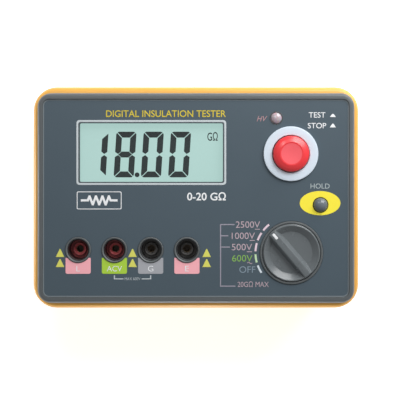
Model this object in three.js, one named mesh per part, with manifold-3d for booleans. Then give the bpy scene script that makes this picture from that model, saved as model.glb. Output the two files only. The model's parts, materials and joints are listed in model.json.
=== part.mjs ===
// An insulation resistance tester: a landscape case that lies on its back with the face up.
// A dark front case carries the face panel, display, sockets, buttons and range selector; a deep orange rear
// case holds the converter board, the transformer and six AA cells behind a screwed cover.
// Units are millimetres. +X is the right of the face, +Y its top edge and +Z points out of it.
// The origin is on the table under the centre of the case.
import * as THREE from "three";
import { mergeVertices } from "three/addons/utils/BufferGeometryUtils.js";
import Module from "manifold-3d";

const wasm = await Module();
wasm.setup();

// ---- driving dimensions -------------------------------------------------------------------------------

const CASE_LENGTH = 206; // at the widest line of the rear case
const CASE_WIDTH = 140;
const FOOT_HEIGHT = 2; // the rear case stands this far off the table
const WIDEST_Z = 56;
const PARTING_Z = 61; // where the case halves meet
const FACE_Z = 72; // top of the bezel lip
const PANEL_TOP = FACE_Z - 0.45; // printed face of the panel
const PANEL_THICKNESS = 0.6;
const PANEL_FLOOR = PANEL_TOP - PANEL_THICKNESS - 0.05; // recess that the panel lies in
const CAVITY_TOP = 68.8; // inside of the front wall

const TOUCH = 0.1; // gap between pieces that rest on each other
const SLIP = 0.3; // gap round a piece that drops into a hole

const TEST = { x: 58.6, y: 27.4 };
const HOLD = { x: 77, y: -4.2 };
const SELECTOR = { x: 59, y: -33.8 };
const LAMP = { x: 49.7, y: 49.5 };
const DISPLAY = { x: -27.6, y: 28.2 };
const SOCKET_PITCH = 22.4;
const SOCKETS = ["line", "voltage", "guard", "earth"].map((role, i) => ({
  role,
  x: -72.8 + i * SOCKET_PITCH,
  y: -32,
}));
const SELECTOR_ANGLE = (135 * Math.PI) / 180; // the pointer's direction at the highest range

const BOARD_LOW = 56.4; // main board
const BOARD_TOP = 58;
const HV_BOARD_LOW = 27.05; // converter board
const HV_BOARD_TOP = 28.65;

const CORNER_SCREWS = quarters(86, 53);
const FEET = quarters(70, 51);
const COVER_SCREWS = [
  { x: -62, y: 0 },
  { x: 62, y: 0 },
];
const BOARD_SCREWS = [
  { x: -80, y: 2 },
  { x: 80, y: 14 },
];
const HV_POSTS = quarters(45, 20);

const CELL_RADIUS = 7.1;
const CELL_LENGTH = 50;
const CELL_ROWS = [15.2, 0, -15.2];
const CELL_Z = 12.3; // height of the cells' axes
const BAY = { length: 115, width: 47.6, low: 4.6, top: 20 };
const COVER = { length: 131.6, width: 51.6, corner: 3, thickness: 2.4 };

const WELL_RADIUS = 18.1; // the recess that the selector knob turns in
const KNOB_RADIUS = 17.45;
const SOCKET_COLLAR_RADIUS = 7.95;
const SOCKET_WELL_RADIUS = 6.7;
const TEST_CAP_RADIUS = 11.1;
const HOLD_CAP_RADIUS = 4.4;
const LAMP_RADIUS = 3.6;

const CORNER_STEPS = 4; // facets in each rounded case corner
const ROUND = 24; // facets round a large circle
const SMALL_ROUND = 14;
const SCREW_ROUND = 8;
const SOCKET_ROUND = 20;

// ---- materials ----------------------------------------------------------------------------------------

function plastic(colour, roughness = 0.55) {
  return new THREE.MeshStandardMaterial({ color: colour, roughness, metalness: 0 });
}

function metal(colour, roughness = 0.35) {
  return new THREE.MeshStandardMaterial({ color: colour, roughness, metalness: 1 });
}

const MATERIALS = {
  caseGrey: plastic(0x5c6266),
  caseOrange: plastic(0xeeb04e, 0.5),
  panelSlate: plastic(0x4d5a62, 0.45),
  window: plastic(0xdfeeea, 0.05),
  displayGlass: plastic(0xb1d4cd, 0.2),
  black: plastic(0x222426),
  elastomer: plastic(0x77787a, 0.8),
  board: plastic(0x2c6a44, 0.4),
  testRing: plastic(0xd5e3ea, 0.4),
  testRed: plastic(0xe84048, 0.35),
  knobGrey: plastic(0x62676b, 0.5),
  holdGrey: plastic(0x595d5f, 0.3),
  white: plastic(0xf4f6f8, 0.4),
  lampLens: plastic(0xd0bcc2, 0.15),
  socketRed: plastic(0x8a3038, 0.45),
  rubber: plastic(0x1c1c1e, 0.9),
  cellJacket: plastic(0x2f5f9a, 0.35),
  wireRed: plastic(0xb02020, 0.5),
  wireBlack: plastic(0x1a1a1a, 0.5),
  filmCapacitor: plastic(0x2f5f9f, 0.4),
  ferrite: plastic(0x3a3a3c, 0.7),
  copper: metal(0xb87333),
  brass: metal(0xc9a45a),
  steel: metal(0xb8bcc0),
  nickel: metal(0xc8ccd0, 0.25),
  fuseGlass: plastic(0xd8dee0, 0.1),
};

// ---- shapes -------------------------------------------------------------------------------------------

function quarters(x, y) {
  return [
    { x, y },
    { x: -x, y },
    { x: -x, y: -y },
    { x, y: -y },
  ];
}

// A rectangle with rounded corners, anticlockwise, with the same number of points whatever its size.
function roundedOutline(length, width, corner) {
  const points = [];
  quarters(length / 2 - corner, width / 2 - corner).forEach((centre, quarter) => {
    for (let step = 0; step <= CORNER_STEPS; step++) {
      const angle = ((quarter + step / CORNER_STEPS) * Math.PI) / 2;
      points.push(
        new THREE.Vector2(centre.x + corner * Math.cos(angle), centre.y + corner * Math.sin(angle)),
      );
    }
  });
  return points;
}

// A closed body through a stack of rounded rectangles, each { z, length, width, corner }, lowest first.
function loft(levels) {
  const rings = levels.map((level) =>
    roundedOutline(level.length, level.width, level.corner).map((p) => [p.x, p.y, level.z]),
  );
  const count = rings[0].length;
  const top = (rings.length - 1) * count;
  const index = [];
  for (let ring = 0; ring < top; ring += count) {
    for (let i = 0; i < count; i++) {
      const a = ring + i;
      const b = ring + ((i + 1) % count);
      index.push(a, b, b + count, a, b + count, a + count);
    }
  }
  for (let i = 1; i < count - 1; i++) {
    index.push(0, i + 1, i, top, top + i, top + i + 1);
  }
  const body = new THREE.BufferGeometry();
  body.setAttribute("position", new THREE.Float32BufferAttribute(rings.flat(2), 3));
  return body.setIndex(index);
}

function cylinder(radius, low, high, { x = 0, y = 0 } = {}, facets = ROUND) {
  return new THREE.CylinderGeometry(radius, radius, high - low, facets)
    .rotateX(Math.PI / 2)
    .translate(x, y, (low + high) / 2);
}

function block(length, width, low, high, { x = 0, y = 0 } = {}) {
  return new THREE.BoxGeometry(length, width, high - low).translate(x, y, (low + high) / 2);
}

function plate({ length, width, corner }, low, high, { x = 0, y = 0 } = {}) {
  const shape = new THREE.Shape(roundedOutline(length, width, corner));
  const settings = { depth: high - low, bevelEnabled: false };
  return new THREE.ExtrudeGeometry(shape, settings).translate(x, y, low);
}

// A body of revolution about Z from [radius, z] points that run anticlockwise, with the radius to the right.
function turned(profile, { x = 0, y = 0 } = {}, facets = ROUND) {
  const points = profile.map(([radius, z]) => new THREE.Vector2(radius, z));
  return new THREE.LatheGeometry(points, facets).rotateX(Math.PI / 2).translate(x, y, 0);
}

function ring(inner, outer, low, high, place, facets) {
  const profile = [[inner, low], [outer, low], [outer, high], [inner, high], [inner, low]];
  return turned(profile, place, facets);
}

// Points of an arc in a [radius, z] profile, with the angles in degrees.
function arc(centreRadius, centreZ, radius, from, to, steps) {
  return Array.from({ length: steps + 1 }, (_, i) => {
    const angle = ((from + ((to - from) * i) / steps) * Math.PI) / 180;
    return [centreRadius + radius * Math.cos(angle), centreZ + radius * Math.sin(angle)];
  });
}

// A [y, z] outline carried along X.
function alongX(outline, from, to) {
  const shape = new THREE.Shape(outline.map(([y, z]) => new THREE.Vector2(y, z)));
  return new THREE.ExtrudeGeometry(shape, { depth: to - from, bevelEnabled: false })
    .rotateX(Math.PI / 2)
    .rotateZ(Math.PI / 2)
    .translate(from, 0, 0);
}

function wire(path, radius, steps, facets) {
  const section = new THREE.Shape().absarc(0, 0, radius, 0, 2 * Math.PI);
  return new THREE.ExtrudeGeometry(new THREE.Shape(section.getSpacedPoints(facets).slice(0, -1)), {
    steps,
    extrudePath: path,
    bevelEnabled: false,
  });
}

function toSolid(geometry) {
  const bare = geometry.clone();
  bare.deleteAttribute("normal");
  bare.deleteAttribute("uv");
  const merged = mergeVertices(bare);
  return new wasm.Manifold(
    new wasm.Mesh({
      numProp: 3,
      vertProperties: merged.getAttribute("position").array,
      triVerts: new Uint32Array(merged.index.array),
    }),
  );
}

function toGeometry(solid) {
  const { vertProperties, triVerts } = solid.getMesh();
  return new THREE.BufferGeometry()
    .setAttribute("position", new THREE.BufferAttribute(vertProperties, 3))
    .setIndex(new THREE.BufferAttribute(triVerts, 1));
}

function join(...parts) {
  return toGeometry(parts.map(toSolid).reduce((whole, part) => whole.add(part)));
}

function cut(body, ...tools) {
  return toGeometry(tools.map(toSolid).reduce((rest, tool) => rest.subtract(tool), toSolid(body)));
}

function common(a, b) {
  return toGeometry(toSolid(a).intersect(toSolid(b)));
}

// ---- assembly -----------------------------------------------------------------------------------------

const tester = new THREE.Group();

function piece(name, geometry, material, group = tester) {
  const shown = geometry.clone();
  shown.computeVertexNormals();
  const mesh = new THREE.Mesh(shown, material);
  mesh.name = name;
  group.add(mesh);
  return mesh;
}

// ---- case ---------------------------------------------------------------------------------------------

// Rings of a rounded edge: the outline shrinks by inset on each side as it goes from z by height.
function roundedEdge(base, inset, height, cornerLoss, steps) {
  return Array.from({ length: steps }, (_, i) => {
    const angle = (((i + 1) / steps) * Math.PI) / 2;
    const loss = 1 - Math.cos(angle);
    return {
      z: base.z + height * Math.sin(angle),
      length: base.length - 2 * inset * loss,
      width: base.width - 2 * inset * loss,
      corner: base.corner - cornerLoss * loss,
    };
  });
}

function rearCase() {
  const widest = { z: WIDEST_Z, length: CASE_LENGTH, width: CASE_WIDTH, corner: 15 };
  const foot = { z: 11, length: CASE_LENGTH - 6, width: CASE_WIDTH - 6, corner: 14 };
  const outer = loft([
    ...roundedEdge(foot, 7, FOOT_HEIGHT - foot.z, 5, 4).reverse(),
    foot,
    widest,
    ...roundedEdge(widest, 3.4, PARTING_Z - WIDEST_Z, 4, 4),
  ]);
  const floorTop = FOOT_HEIGHT + 3;
  const cavity = loft([
    { z: floorTop, length: 182, width: 116, corner: 8 },
    { z: 13, length: 193.4, width: 127.4, corner: 11 },
    { z: 50, length: 199, width: 133, corner: 12 },
    { z: WIDEST_Z, length: 196, width: 130, corner: 10 },
    { z: PARTING_Z + 1, length: 196, width: 130, corner: 9 },
  ]);
  const bayWalls = block(BAY.length + 22, BAY.width + 5, floorTop - 1, BAY.top + 2.2);
  const bosses = CORNER_SCREWS.map((place) => cylinder(5, floorTop - 1, 57.4, place, SMALL_ROUND));
  const posts = HV_POSTS.flatMap((place) => [
    cylinder(2.6, BAY.top, HV_BOARD_LOW - 0.05, place, SCREW_ROUND),
    cylinder(1.3, BAY.top, HV_BOARD_TOP + 1, place, SCREW_ROUND),
  ]);

  const bay = block(BAY.length, BAY.width, FOOT_HEIGHT - 1, BAY.top);
  const rebate = plate(
    { length: COVER.length + 2 * SLIP, width: COVER.width + 2 * SLIP, corner: COVER.corner },
    FOOT_HEIGHT - 1,
    BAY.low,
  );
  const footRecesses = FEET.map((place) =>
    cylinder(6.6, FOOT_HEIGHT - 1, FOOT_HEIGHT + 0.8, place, SMALL_ROUND),
  );
  const screwHoles = CORNER_SCREWS.flatMap((place) => [
    cylinder(3.6, FOOT_HEIGHT - 1, 49, place, SMALL_ROUND),
    cylinder(1.75, 48, 58, place, SCREW_ROUND),
  ]);
  const coverHoles = COVER_SCREWS.map((place) =>
    cylinder(1.35, FOOT_HEIGHT, 16, place, SCREW_ROUND),
  );
  const tabSlots = [-1, 1].map((side) =>
    block(1.6, 5, BAY.top - 1, BAY.top + 3, { x: side * 56.5, y: side * CELL_ROWS[2] }),
  );
  const rowRibs = [7.6, -7.6].map((y) => block(90, 1.6, 16, BAY.top + 0.5, { x: 0, y }));

  const hollow = cut(outer, cavity);
  const furnished = join(hollow, bayWalls, ...bosses, ...posts);
  const opened = cut(
    furnished,
    bay,
    rebate,
    ...footRecesses,
    ...screwHoles,
    ...coverHoles,
    ...tabSlots,
  );
  return join(opened, ...rowRibs);
}

const WINDOW = { length: 88.6, width: 36.3, corner: 1 }; // the opening the display is read through
const LENS = { length: 96.4, width: 44.4, corner: 1.5 };

function frontCase() {
  const side = { z: 68.4, length: 196.8, width: 130.4, corner: 8.6 };
  const outer = loft([
    { z: PARTING_Z + 0.05, length: 197.6, width: 131.2, corner: 9.2 },
    side,
    ...roundedEdge(side, 3.4, FACE_Z - side.z, 3.4, 4),
  ]);
  const skirt = { length: 195.2, width: 129.2, corner: 8.4 };
  const cavity = loft([
    { z: 57, length: 193, width: 126.6, corner: 7.4 },
    { z: CAVITY_TOP, length: 191.8, width: 125.4, corner: 6.8 },
  ]);
  const shell = cut(join(outer, plate(skirt, 58, PARTING_Z + 2)), cavity);

  const lensFrame = plate({ length: 101, width: 49, corner: 2 }, 66.8, CAVITY_TOP + 1, DISPLAY);
  const bosses = CORNER_SCREWS.map((place) =>
    cylinder(4, 57.6, CAVITY_TOP + 1, place, SMALL_ROUND),
  );
  const posts = BOARD_SCREWS.map((place) =>
    cylinder(3, BOARD_TOP + TOUCH, CAVITY_TOP + 1, place, SCREW_ROUND),
  );
  const panelRecess = plate({ length: 189.4, width: 122.4, corner: 4 }, PANEL_FLOOR, FACE_Z + 1);
  const furnished = cut(join(shell, lensFrame, ...bosses, ...posts), panelRecess);

  const collars = SOCKETS.map((place) => socketCollar(place));
  const selectorWell = turned(
    [
      [0, 62.8],
      [19.6, 62.8],
      [19.6, PANEL_FLOOR],
      [19.4, 71.8],
      [18.85, 72.3],
      [WELL_RADIUS, 71.8],
      [WELL_RADIUS, 64.8],
      [0, 64.8],
    ],
    SELECTOR,
    ROUND,
  );
  const holes = [
    plate(WINDOW, 66, FACE_Z, DISPLAY),
    plate({ ...LENS, length: LENS.length + SLIP, width: LENS.width + SLIP }, 69, FACE_Z, DISPLAY),
    cylinder(13.7, 66, FACE_Z, TEST),
    cylinder(5.3, 66, FACE_Z, HOLD, SMALL_ROUND),
    cylinder(LAMP_RADIUS + 0.15, 66, FACE_Z, LAMP, SMALL_ROUND),
    cylinder(WELL_RADIUS + 0.4, 66, FACE_Z, SELECTOR),
    ...SOCKETS.map((place) => cylinder(SOCKET_WELL_RADIUS + 0.4, 66, FACE_Z, place, SOCKET_ROUND)),
    ...CORNER_SCREWS.map((place) => cylinder(1.6, 57, 66.5, place, SCREW_ROUND)),
    ...BOARD_SCREWS.map((place) => cylinder(1.2, 57, 66.5, place, SCREW_ROUND)),
  ];
  const opened = cut(furnished, ...holes);
  return cut(join(opened, selectorWell, ...collars), cylinder(5.2, 60, 66, SELECTOR, SMALL_ROUND));
}

// The raised ring round a test socket, through which the socket's insulator is reached.
function socketCollar(place) {
  const rim = (SOCKET_COLLAR_RADIUS + SOCKET_WELL_RADIUS) / 2;
  const profile = [
    [SOCKET_WELL_RADIUS, CAVITY_TOP],
    [SOCKET_COLLAR_RADIUS, CAVITY_TOP],
    [SOCKET_COLLAR_RADIUS, 71.6],
    [rim, 72.2],
    [SOCKET_WELL_RADIUS, 71.6],
    [SOCKET_WELL_RADIUS, CAVITY_TOP],
  ];
  return turned(profile, place, SOCKET_ROUND);
}

function facePanel() {
  const sheet = plate(
    { length: 188.9, width: 121.9, corner: 3.8 },
    PANEL_TOP - PANEL_THICKNESS,
    PANEL_TOP,
  );
  const hole = (radius, place, facets) => cylinder(radius, PANEL_FLOOR - 1, FACE_Z, place, facets);
  return cut(
    sheet,
    plate(WINDOW, PANEL_FLOOR - 1, FACE_Z, DISPLAY),
    hole(13.8, TEST, ROUND),
    hole(HOLD_CAP_RADIUS + 0.5, HOLD, SMALL_ROUND),
    hole(LAMP_RADIUS + 0.2, LAMP, SMALL_ROUND),
    hole(19.75, SELECTOR, ROUND),
    ...SOCKETS.map((place) => hole(SOCKET_COLLAR_RADIUS + 0.15, place, SOCKET_ROUND)),
  );
}

// A pan-head screw that points up, with its head's seat at z.
function screw(place, seat, headRadius, headHeight, shankRadius, length) {
  const head = cylinder(headRadius, seat - headHeight, seat, place, SCREW_ROUND);
  const shank = cylinder(shankRadius, seat - headHeight / 2, seat + length, place, SCREW_ROUND);
  const slot = [block(0.7, headRadius * 1.5, 0, 1), block(headRadius * 1.5, 0.7, 0, 1)].map((bar) =>
    bar.translate(place.x, place.y, seat - headHeight - 0.2),
  );
  return cut(join(head, shank), join(...slot));
}

function buildCase() {
  piece("rear_case", rearCase(), MATERIALS.caseOrange);
  piece("front_case", frontCase(), MATERIALS.caseGrey);
  piece("face_panel", facePanel(), MATERIALS.panelSlate);
  CORNER_SCREWS.forEach((place, i) => {
    piece(`case_screw_${i + 1}`, screw(place, 48.9, 2.9, 2.2, 1.5, 14), MATERIALS.steel);
  });
  FEET.forEach((place, i) => {
    const foot = turned(
      [
        [0, 0],
        [5.4, 0],
        [6.3, FOOT_HEIGHT - 0.6],
        [6.3, FOOT_HEIGHT + 0.7],
        [0, FOOT_HEIGHT + 0.7],
      ],
      place,
      SMALL_ROUND,
    );
    piece(`foot_${i + 1}`, foot, MATERIALS.rubber);
  });
}

// ---- battery ------------------------------------------------------------------------------------------

function batteryCover() {
  const low = FOOT_HEIGHT + 0.1;
  const sheet = plate(COVER, low, low + COVER.thickness);
  const gripRibs = [-3, 0, 3].map((y) => block(12, 1.2, low, low + 0.5, { x: 0, y: y - 19 }));
  const grip = block(16, 10, low - 1, low + 0.7, { x: 0, y: -19 });
  const holes = COVER_SCREWS.flatMap((place) => [
    cylinder(2.9, low - 1, low + 1.5, place, SCREW_ROUND),
    cylinder(1.5, low, low + 3, place, SCREW_ROUND),
  ]);
  return join(
    cut(sheet, grip, ...holes),
    ...gripRibs.map((rib) => rib.translate(0, 0, 0.3)),
  );
}

// An AA cell along X with its raised terminal towards +X.
function cell() {
  const half = CELL_LENGTH / 2;
  return turned(
    [
      [0, -half],
      [CELL_RADIUS, -half],
      [CELL_RADIUS, half - 1.2],
      [2.7, half - 1.2],
      [2.7, half],
      [0, half],
    ],
    {},
    SMALL_ROUND,
  ).rotateY(Math.PI / 2);
}

// A sprung contact strip at one end of the bay: a thin plate with a bowed leaf for each cell row it serves.
function batteryContact(rows, side, tabRow) {
  const outerX = BAY.length / 2 - 0.2;
  const mid = (rows[0] + rows[rows.length - 1]) / 2;
  const width = Math.abs(rows[0] - rows[rows.length - 1]) + 12;
  const backing = block(0.5, width, 6, 19, { x: outerX - 0.25, y: mid });
  const leaf = [
    [outerX - 0.3, 7],
    [outerX, 7],
    [outerX - 6.2, 12.3],
    [outerX, 17.6],
    [outerX - 0.3, 17.6],
    [outerX - 6.8, 12.3],
  ];
  const leaves = rows.map((row) => {
    const shape = new THREE.Shape(leaf.map(([x, z]) => new THREE.Vector2(x, z)));
    return new THREE.ExtrudeGeometry(shape, { depth: 6, bevelEnabled: false })
      .rotateX(Math.PI / 2)
      .translate(0, row + 3, 0);
  });
  const tabs = tabRow === undefined ? [] : [block(0.5, 3, 18, 24.5, { x: outerX - 0.6, y: tabRow })];
  const link = tabs.length ? [block(0.9, 3, 18, 19, { x: outerX - 0.4, y: tabRow })] : [];
  const strip = join(backing, ...leaves, ...tabs, ...link);
  return side > 0 ? strip : strip.rotateZ(Math.PI);
}

function buildBattery() {
  const seat = FOOT_HEIGHT + 1.55;
  piece("battery_cover", batteryCover(), MATERIALS.caseOrange);
  COVER_SCREWS.forEach((place, i) => {
    piece(`cover_screw_${i + 1}`, screw(place, seat, 2.6, 1.3, 1.2, 9), MATERIALS.steel);
  });
  CELL_ROWS.forEach((y, row) => {
    [-1, 1].forEach((side, column) => {
      const mesh = piece(`cell_${row * 2 + column + 1}`, cell(), MATERIALS.cellJacket);
      mesh.position.set(side * (CELL_LENGTH / 2 + 0.15), y, CELL_Z);
      mesh.rotation.z = row === 1 ? 0 : Math.PI;
    });
  });
  // On the left side the strip is drawn turned round, so its rows are listed with their signs swapped.
  const [top, middle, bottom] = CELL_ROWS;
  const strips = {
    battery_contact_positive: batteryContact([-top], -1, -top),
    battery_contact_link_left: batteryContact([-middle, -bottom], -1),
    battery_contact_link_right: batteryContact([top, middle], 1),
    battery_contact_negative: batteryContact([bottom], 1, bottom),
  };
  Object.entries(strips).forEach(([name, strip]) => piece(name, strip, MATERIALS.nickel));
  [
    ["battery_lead_red", -1, MATERIALS.wireRed],
    ["battery_lead_black", 1, MATERIALS.wireBlack],
  ].forEach(([name, side, material]) => {
    const y = -side * top;
    const path = new THREE.CatmullRomCurve3([
      new THREE.Vector3(side * 56.7, y, 25.6),
      new THREE.Vector3(side * 57.2, y, 31),
      new THREE.Vector3(side * 52, y, 34.5),
      new THREE.Vector3(side * 48, y, HV_BOARD_TOP + 0.4),
    ]);
    piece(name, wire(path, 0.8, 8, 6), material);
  });
}

// ---- display ------------------------------------------------------------------------------------------

function buildDisplay() {
  const frameTop = 66.7;
  const glassLow = 63.9;
  const glass = { length: 94, width: 42, corner: 0.5 };
  piece("display_window", plate(LENS, 69.05, 70.85, DISPLAY), MATERIALS.window);
  piece("lcd_panel", plate(glass, glassLow, 66.5, DISPLAY), MATERIALS.displayGlass);
  const frame = cut(
    plate({ length: 98, width: 46, corner: 1.5 }, BOARD_TOP + TOUCH, frameTop, DISPLAY),
    plate({ ...glass, length: 94.4, width: 42.4 }, glassLow - TOUCH, frameTop + 1, DISPLAY),
    block(88, 38, BOARD_TOP - 1, frameTop, DISPLAY),
  );
  piece("lcd_frame", frame, MATERIALS.black);
  [
    ["lcd_connector_upper", 17.4],
    ["lcd_connector_lower", -17.4],
  ].forEach(([name, offset]) => {
    const place = { x: DISPLAY.x, y: DISPLAY.y + offset };
    const strip = block(84, 2.4, BOARD_TOP + 0.05, glassLow - 0.05, place);
    piece(name, strip, MATERIALS.elastomer);
  });
}

// ---- boards -------------------------------------------------------------------------------------------

function buildBoards() {
  const main = cut(
    plate({ length: 172, width: 108, corner: 2 }, BOARD_LOW, BOARD_TOP),
    ...CORNER_SCREWS.map((place) => cylinder(6, BOARD_LOW - 1, BOARD_TOP + 1, place, SMALL_ROUND)),
    ...BOARD_SCREWS.map((place) => cylinder(1.5, BOARD_LOW - 1, BOARD_TOP + 1, place, SCREW_ROUND)),
    ...SOCKETS.map((place) => cylinder(3, BOARD_LOW - 1, BOARD_TOP + 1, place, SCREW_ROUND)),
  );
  piece("main_board", main, MATERIALS.board);
  BOARD_SCREWS.forEach((place, i) => {
    const fastener = screw(place, BOARD_LOW - TOUCH, 2.6, 1.8, 1.1, 8);
    piece(`board_screw_${i + 1}`, fastener, MATERIALS.steel);
  });
  const converter = cut(
    plate({ length: 100, width: 50, corner: 2 }, HV_BOARD_LOW, HV_BOARD_TOP),
    ...HV_POSTS.map((place) =>
      cylinder(1.5, HV_BOARD_LOW - 1, HV_BOARD_TOP + 1, place, SCREW_ROUND),
    ),
  );
  piece("converter_board", converter, MATERIALS.board);

  // Step-up transformer: an E-shaped ferrite core with its coil round the middle leg.
  const transformer = { x: -20, y: 2 };
  const low = HV_BOARD_TOP + 0.2;
  const windows = [-7.25, 7.25].map((x) => block(6.5, 20, low + 4, low + 20, { x, y: 0 }));
  const core = cut(block(30, 12, low, low + 24), ...windows);
  const coil = cut(
    plate({ length: 20.2, width: 24, corner: 3 }, low + 4.3, low + 19.7),
    block(8.6, 12.6, low, low + 24),
  );
  piece("transformer_core", core.translate(transformer.x, transformer.y, 0), MATERIALS.ferrite);
  piece("transformer_coil", coil.translate(transformer.x, transformer.y, 0), MATERIALS.copper);

  const capacitor = plate({ length: 26, width: 10, corner: 1.5 }, low, low + 19, { x: 20, y: 12 });
  piece("storage_capacitor", capacitor, MATERIALS.filmCapacitor);
  buildFuse({ x: 20, y: -12 }, low);
}

function buildFuse(place, low) {
  const axisZ = low + 6;
  const radius = 2.6;
  const base = block(26, 8, low, low + 1.6);
  const clips = [-8, 8].map((x) =>
    cut(
      block(4, 7, low + 1, axisZ + 1.6, { x, y: 0 }),
      alongX(arc(0, axisZ, radius + 0.15, 0, 360, 12).slice(0, -1), x - 3, x + 3),
      block(6, 3.6, axisZ, axisZ + 4, { x, y: 0 }),
    ),
  );
  const holder = join(base, ...clips).translate(place.x, place.y, 0);
  piece("fuse_holder", holder, MATERIALS.black);
  const fuse = new THREE.CylinderGeometry(radius, radius, 20, SMALL_ROUND).rotateZ(Math.PI / 2);
  piece("fuse", fuse, MATERIALS.fuseGlass).position.set(place.x, place.y, axisZ);
}

// ---- sockets and lamp ---------------------------------------------------------------------------------

function buildSockets() {
  const tubeTop = 63.5;
  const contactTop = 61.2;
  SOCKETS.forEach((socket, i) => {
    const sleeve = turned(
      [
        [2.85, BOARD_TOP + TOUCH],
        [7.6, BOARD_TOP + TOUCH],
        [7.6, 60.3],
        [6.5, 60.3],
        [6.5, 70.8],
        [5.9, 70.8],
        [5.9, 60.9],
        [4.1, 60.9],
        [4.1, tubeTop - 0.4],
        [3.7, tubeTop],
        [2.3, tubeTop - 1],
        [2.3, contactTop + TOUCH],
        [2.85, contactTop + TOUCH],
        [2.85, BOARD_TOP + TOUCH],
      ],
      socket,
      SOCKET_ROUND,
    );
    const contact = turned(
      [
        [0, 52.5],
        [2.7, 52.5],
        [2.7, contactTop],
        [2, contactTop],
        [2, 54],
        [0, 54],
      ],
      socket,
      SMALL_ROUND,
    );
    piece(`socket_sleeve_${socket.role}`, sleeve, i < 2 ? MATERIALS.socketRed : MATERIALS.black);
    piece(`socket_contact_${socket.role}`, contact, MATERIALS.brass);
  });
}

function buildLamp() {
  const shoulder = 70.6;
  const dome = arc(0, shoulder, LAMP_RADIUS, 0, 90, 3).map(([radius, z]) => [
    radius,
    shoulder + (z - shoulder) * 0.75,
  ]);
  const base = [
    [0, BOARD_TOP + TOUCH],
    [3, BOARD_TOP + TOUCH],
    [3, 63],
    [4.4, 63],
    [4.4, 64.2],
    [LAMP_RADIUS, 64.2],
  ];
  const lens = turned([...base, ...dome], LAMP, SMALL_ROUND);
  piece("voltage_lamp", lens, MATERIALS.lampLens);
}

// ---- buttons ------------------------------------------------------------------------------------------

class Helix extends THREE.Curve {
  constructor(radius, low, high, turns) {
    super();
    Object.assign(this, { radius, low, high, turns });
  }

  getPoint(t) {
    const angle = 2 * Math.PI * this.turns * t;
    const z = this.low + (this.high - this.low) * t;
    return new THREE.Vector3(this.radius * Math.cos(angle), this.radius * Math.sin(angle), z);
  }
}

function buildTestButton() {
  const capTop = 77;
  const skirtLow = 69.5;
  const capInside = 74.6;
  const housingTop = 64;
  const ringProfile = [
    [TEST_CAP_RADIUS + 0.5, 66.5],
    [13.4, 66.5],
    [13.4, PANEL_TOP + 0.05],
    [16.9, PANEL_TOP + 0.05],
    [16.9, 72.4],
    [16.3, 73],
    [12.2, 73],
    [TEST_CAP_RADIUS + 0.5, 72.4],
    [TEST_CAP_RADIUS + 0.5, 66.5],
  ];
  piece("test_button_ring", turned(ringProfile, TEST), MATERIALS.testRing);

  const capProfile = [
    [9.4, skirtLow],
    [TEST_CAP_RADIUS, skirtLow],
    [TEST_CAP_RADIUS, 75],
    [8.6, 76.6],
    [7.1, capTop],
    [6.4, capTop - 0.15],
    [0, capTop - 0.5],
    [0, capInside],
    [9.4, capInside],
    [9.4, skirtLow],
  ];
  piece("test_button_cap", turned(capProfile, TEST), MATERIALS.testRed);
  const plungerLow = housingTop - 0.6;
  const plunger = cylinder(2.6, plungerLow, capInside - TOUCH, TEST, SMALL_ROUND);
  piece("test_plunger", plunger, MATERIALS.black);

  const coil = new Helix(4.6, housingTop + 0.6, capInside - 0.6, 4.5);
  const spring = wire(coil, 0.45, 50, 5).translate(TEST.x, TEST.y, 0);
  piece("test_spring", spring, MATERIALS.steel);
  const housing = cut(
    plate({ length: 20, width: 20, corner: 1 }, BOARD_TOP + TOUCH, housingTop, TEST),
    cylinder(2.9, 59.5, housingTop + 1, TEST, SMALL_ROUND),
  );
  piece("test_switch_housing", housing, MATERIALS.black);
}

function buildHoldButton() {
  const shoulder = 71.4;
  const dome = arc(0, shoulder, HOLD_CAP_RADIUS, 0, 90, 3).map(([radius, z]) => [
    radius,
    shoulder + (z - shoulder) * 0.8,
  ]);
  const cap = turned(
    [
      [0, 65.75],
      [2.2, 65.75],
      [2.2, 66.8],
      [6.2, 66.8],
      [6.2, 68.2],
      [HOLD_CAP_RADIUS, 68.2],
      ...dome,
    ],
    HOLD,
    SMALL_ROUND,
  );
  piece("hold_button_cap", cap, MATERIALS.holdGrey);
  const body = plate({ length: 11, width: 11, corner: 0.5 }, BOARD_TOP + TOUCH, 63.4, HOLD);
  const actuator = cylinder(3, 63, 64.8, HOLD, SMALL_ROUND);
  piece("hold_switch", join(body, actuator), MATERIALS.black);
}

// ---- range selector -----------------------------------------------------------------------------------

const KNOB_TOP = 73.2;
const DISH_FLOOR = 70.4;
const GRIP_TOP = 74.6;
const GRIP_OFFSET = 1.1; // how far the finger bar lies to one side of the knob's centre
const POINTER = { x: 14.5, y: 0 }; // on the bar, before the bar is leaned

// Moves the bar to one side and turns it back, so that of the whole bar only its pointer lies on the radius.
function lean(geometry) {
  return geometry.translate(0, GRIP_OFFSET, 0).rotateZ(-Math.atan2(GRIP_OFFSET, POINTER.x));
}

// A dished knob with a finger bar across it; the pointer is at the bar's +X end.
function selectorKnob() {
  const dish = turned([
    [0, 67.2],
    [15, 67.2],
    [15.6, 65.4],
    [KNOB_RADIUS - 0.2, 65.4],
    [KNOB_RADIUS, KNOB_TOP - 0.4],
    [KNOB_RADIUS - 0.4, KNOB_TOP],
    [16.6, KNOB_TOP],
    [13, DISH_FLOOR + 0.1],
    [0, DISH_FLOOR],
  ]);
  const section = [
    [-4.2, DISH_FLOOR - 0.5],
    [4.2, DISH_FLOOR - 0.5],
    [2.5, 73.5],
    [1.8, GRIP_TOP],
    [-1.8, GRIP_TOP],
    [-2.5, 73.5],
  ];
  const grip = common(lean(alongX(section, -18, 18)), cylinder(17, 69, 75, {}));
  const hub = cylinder(4.2, 60.2, 68, {}, 6);
  const pointerSlot = lean(block(4.3, 1.8, GRIP_TOP - 0.7, GRIP_TOP + 1, POINTER));
  return cut(join(dish, grip, hub), pointerSlot);
}

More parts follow.
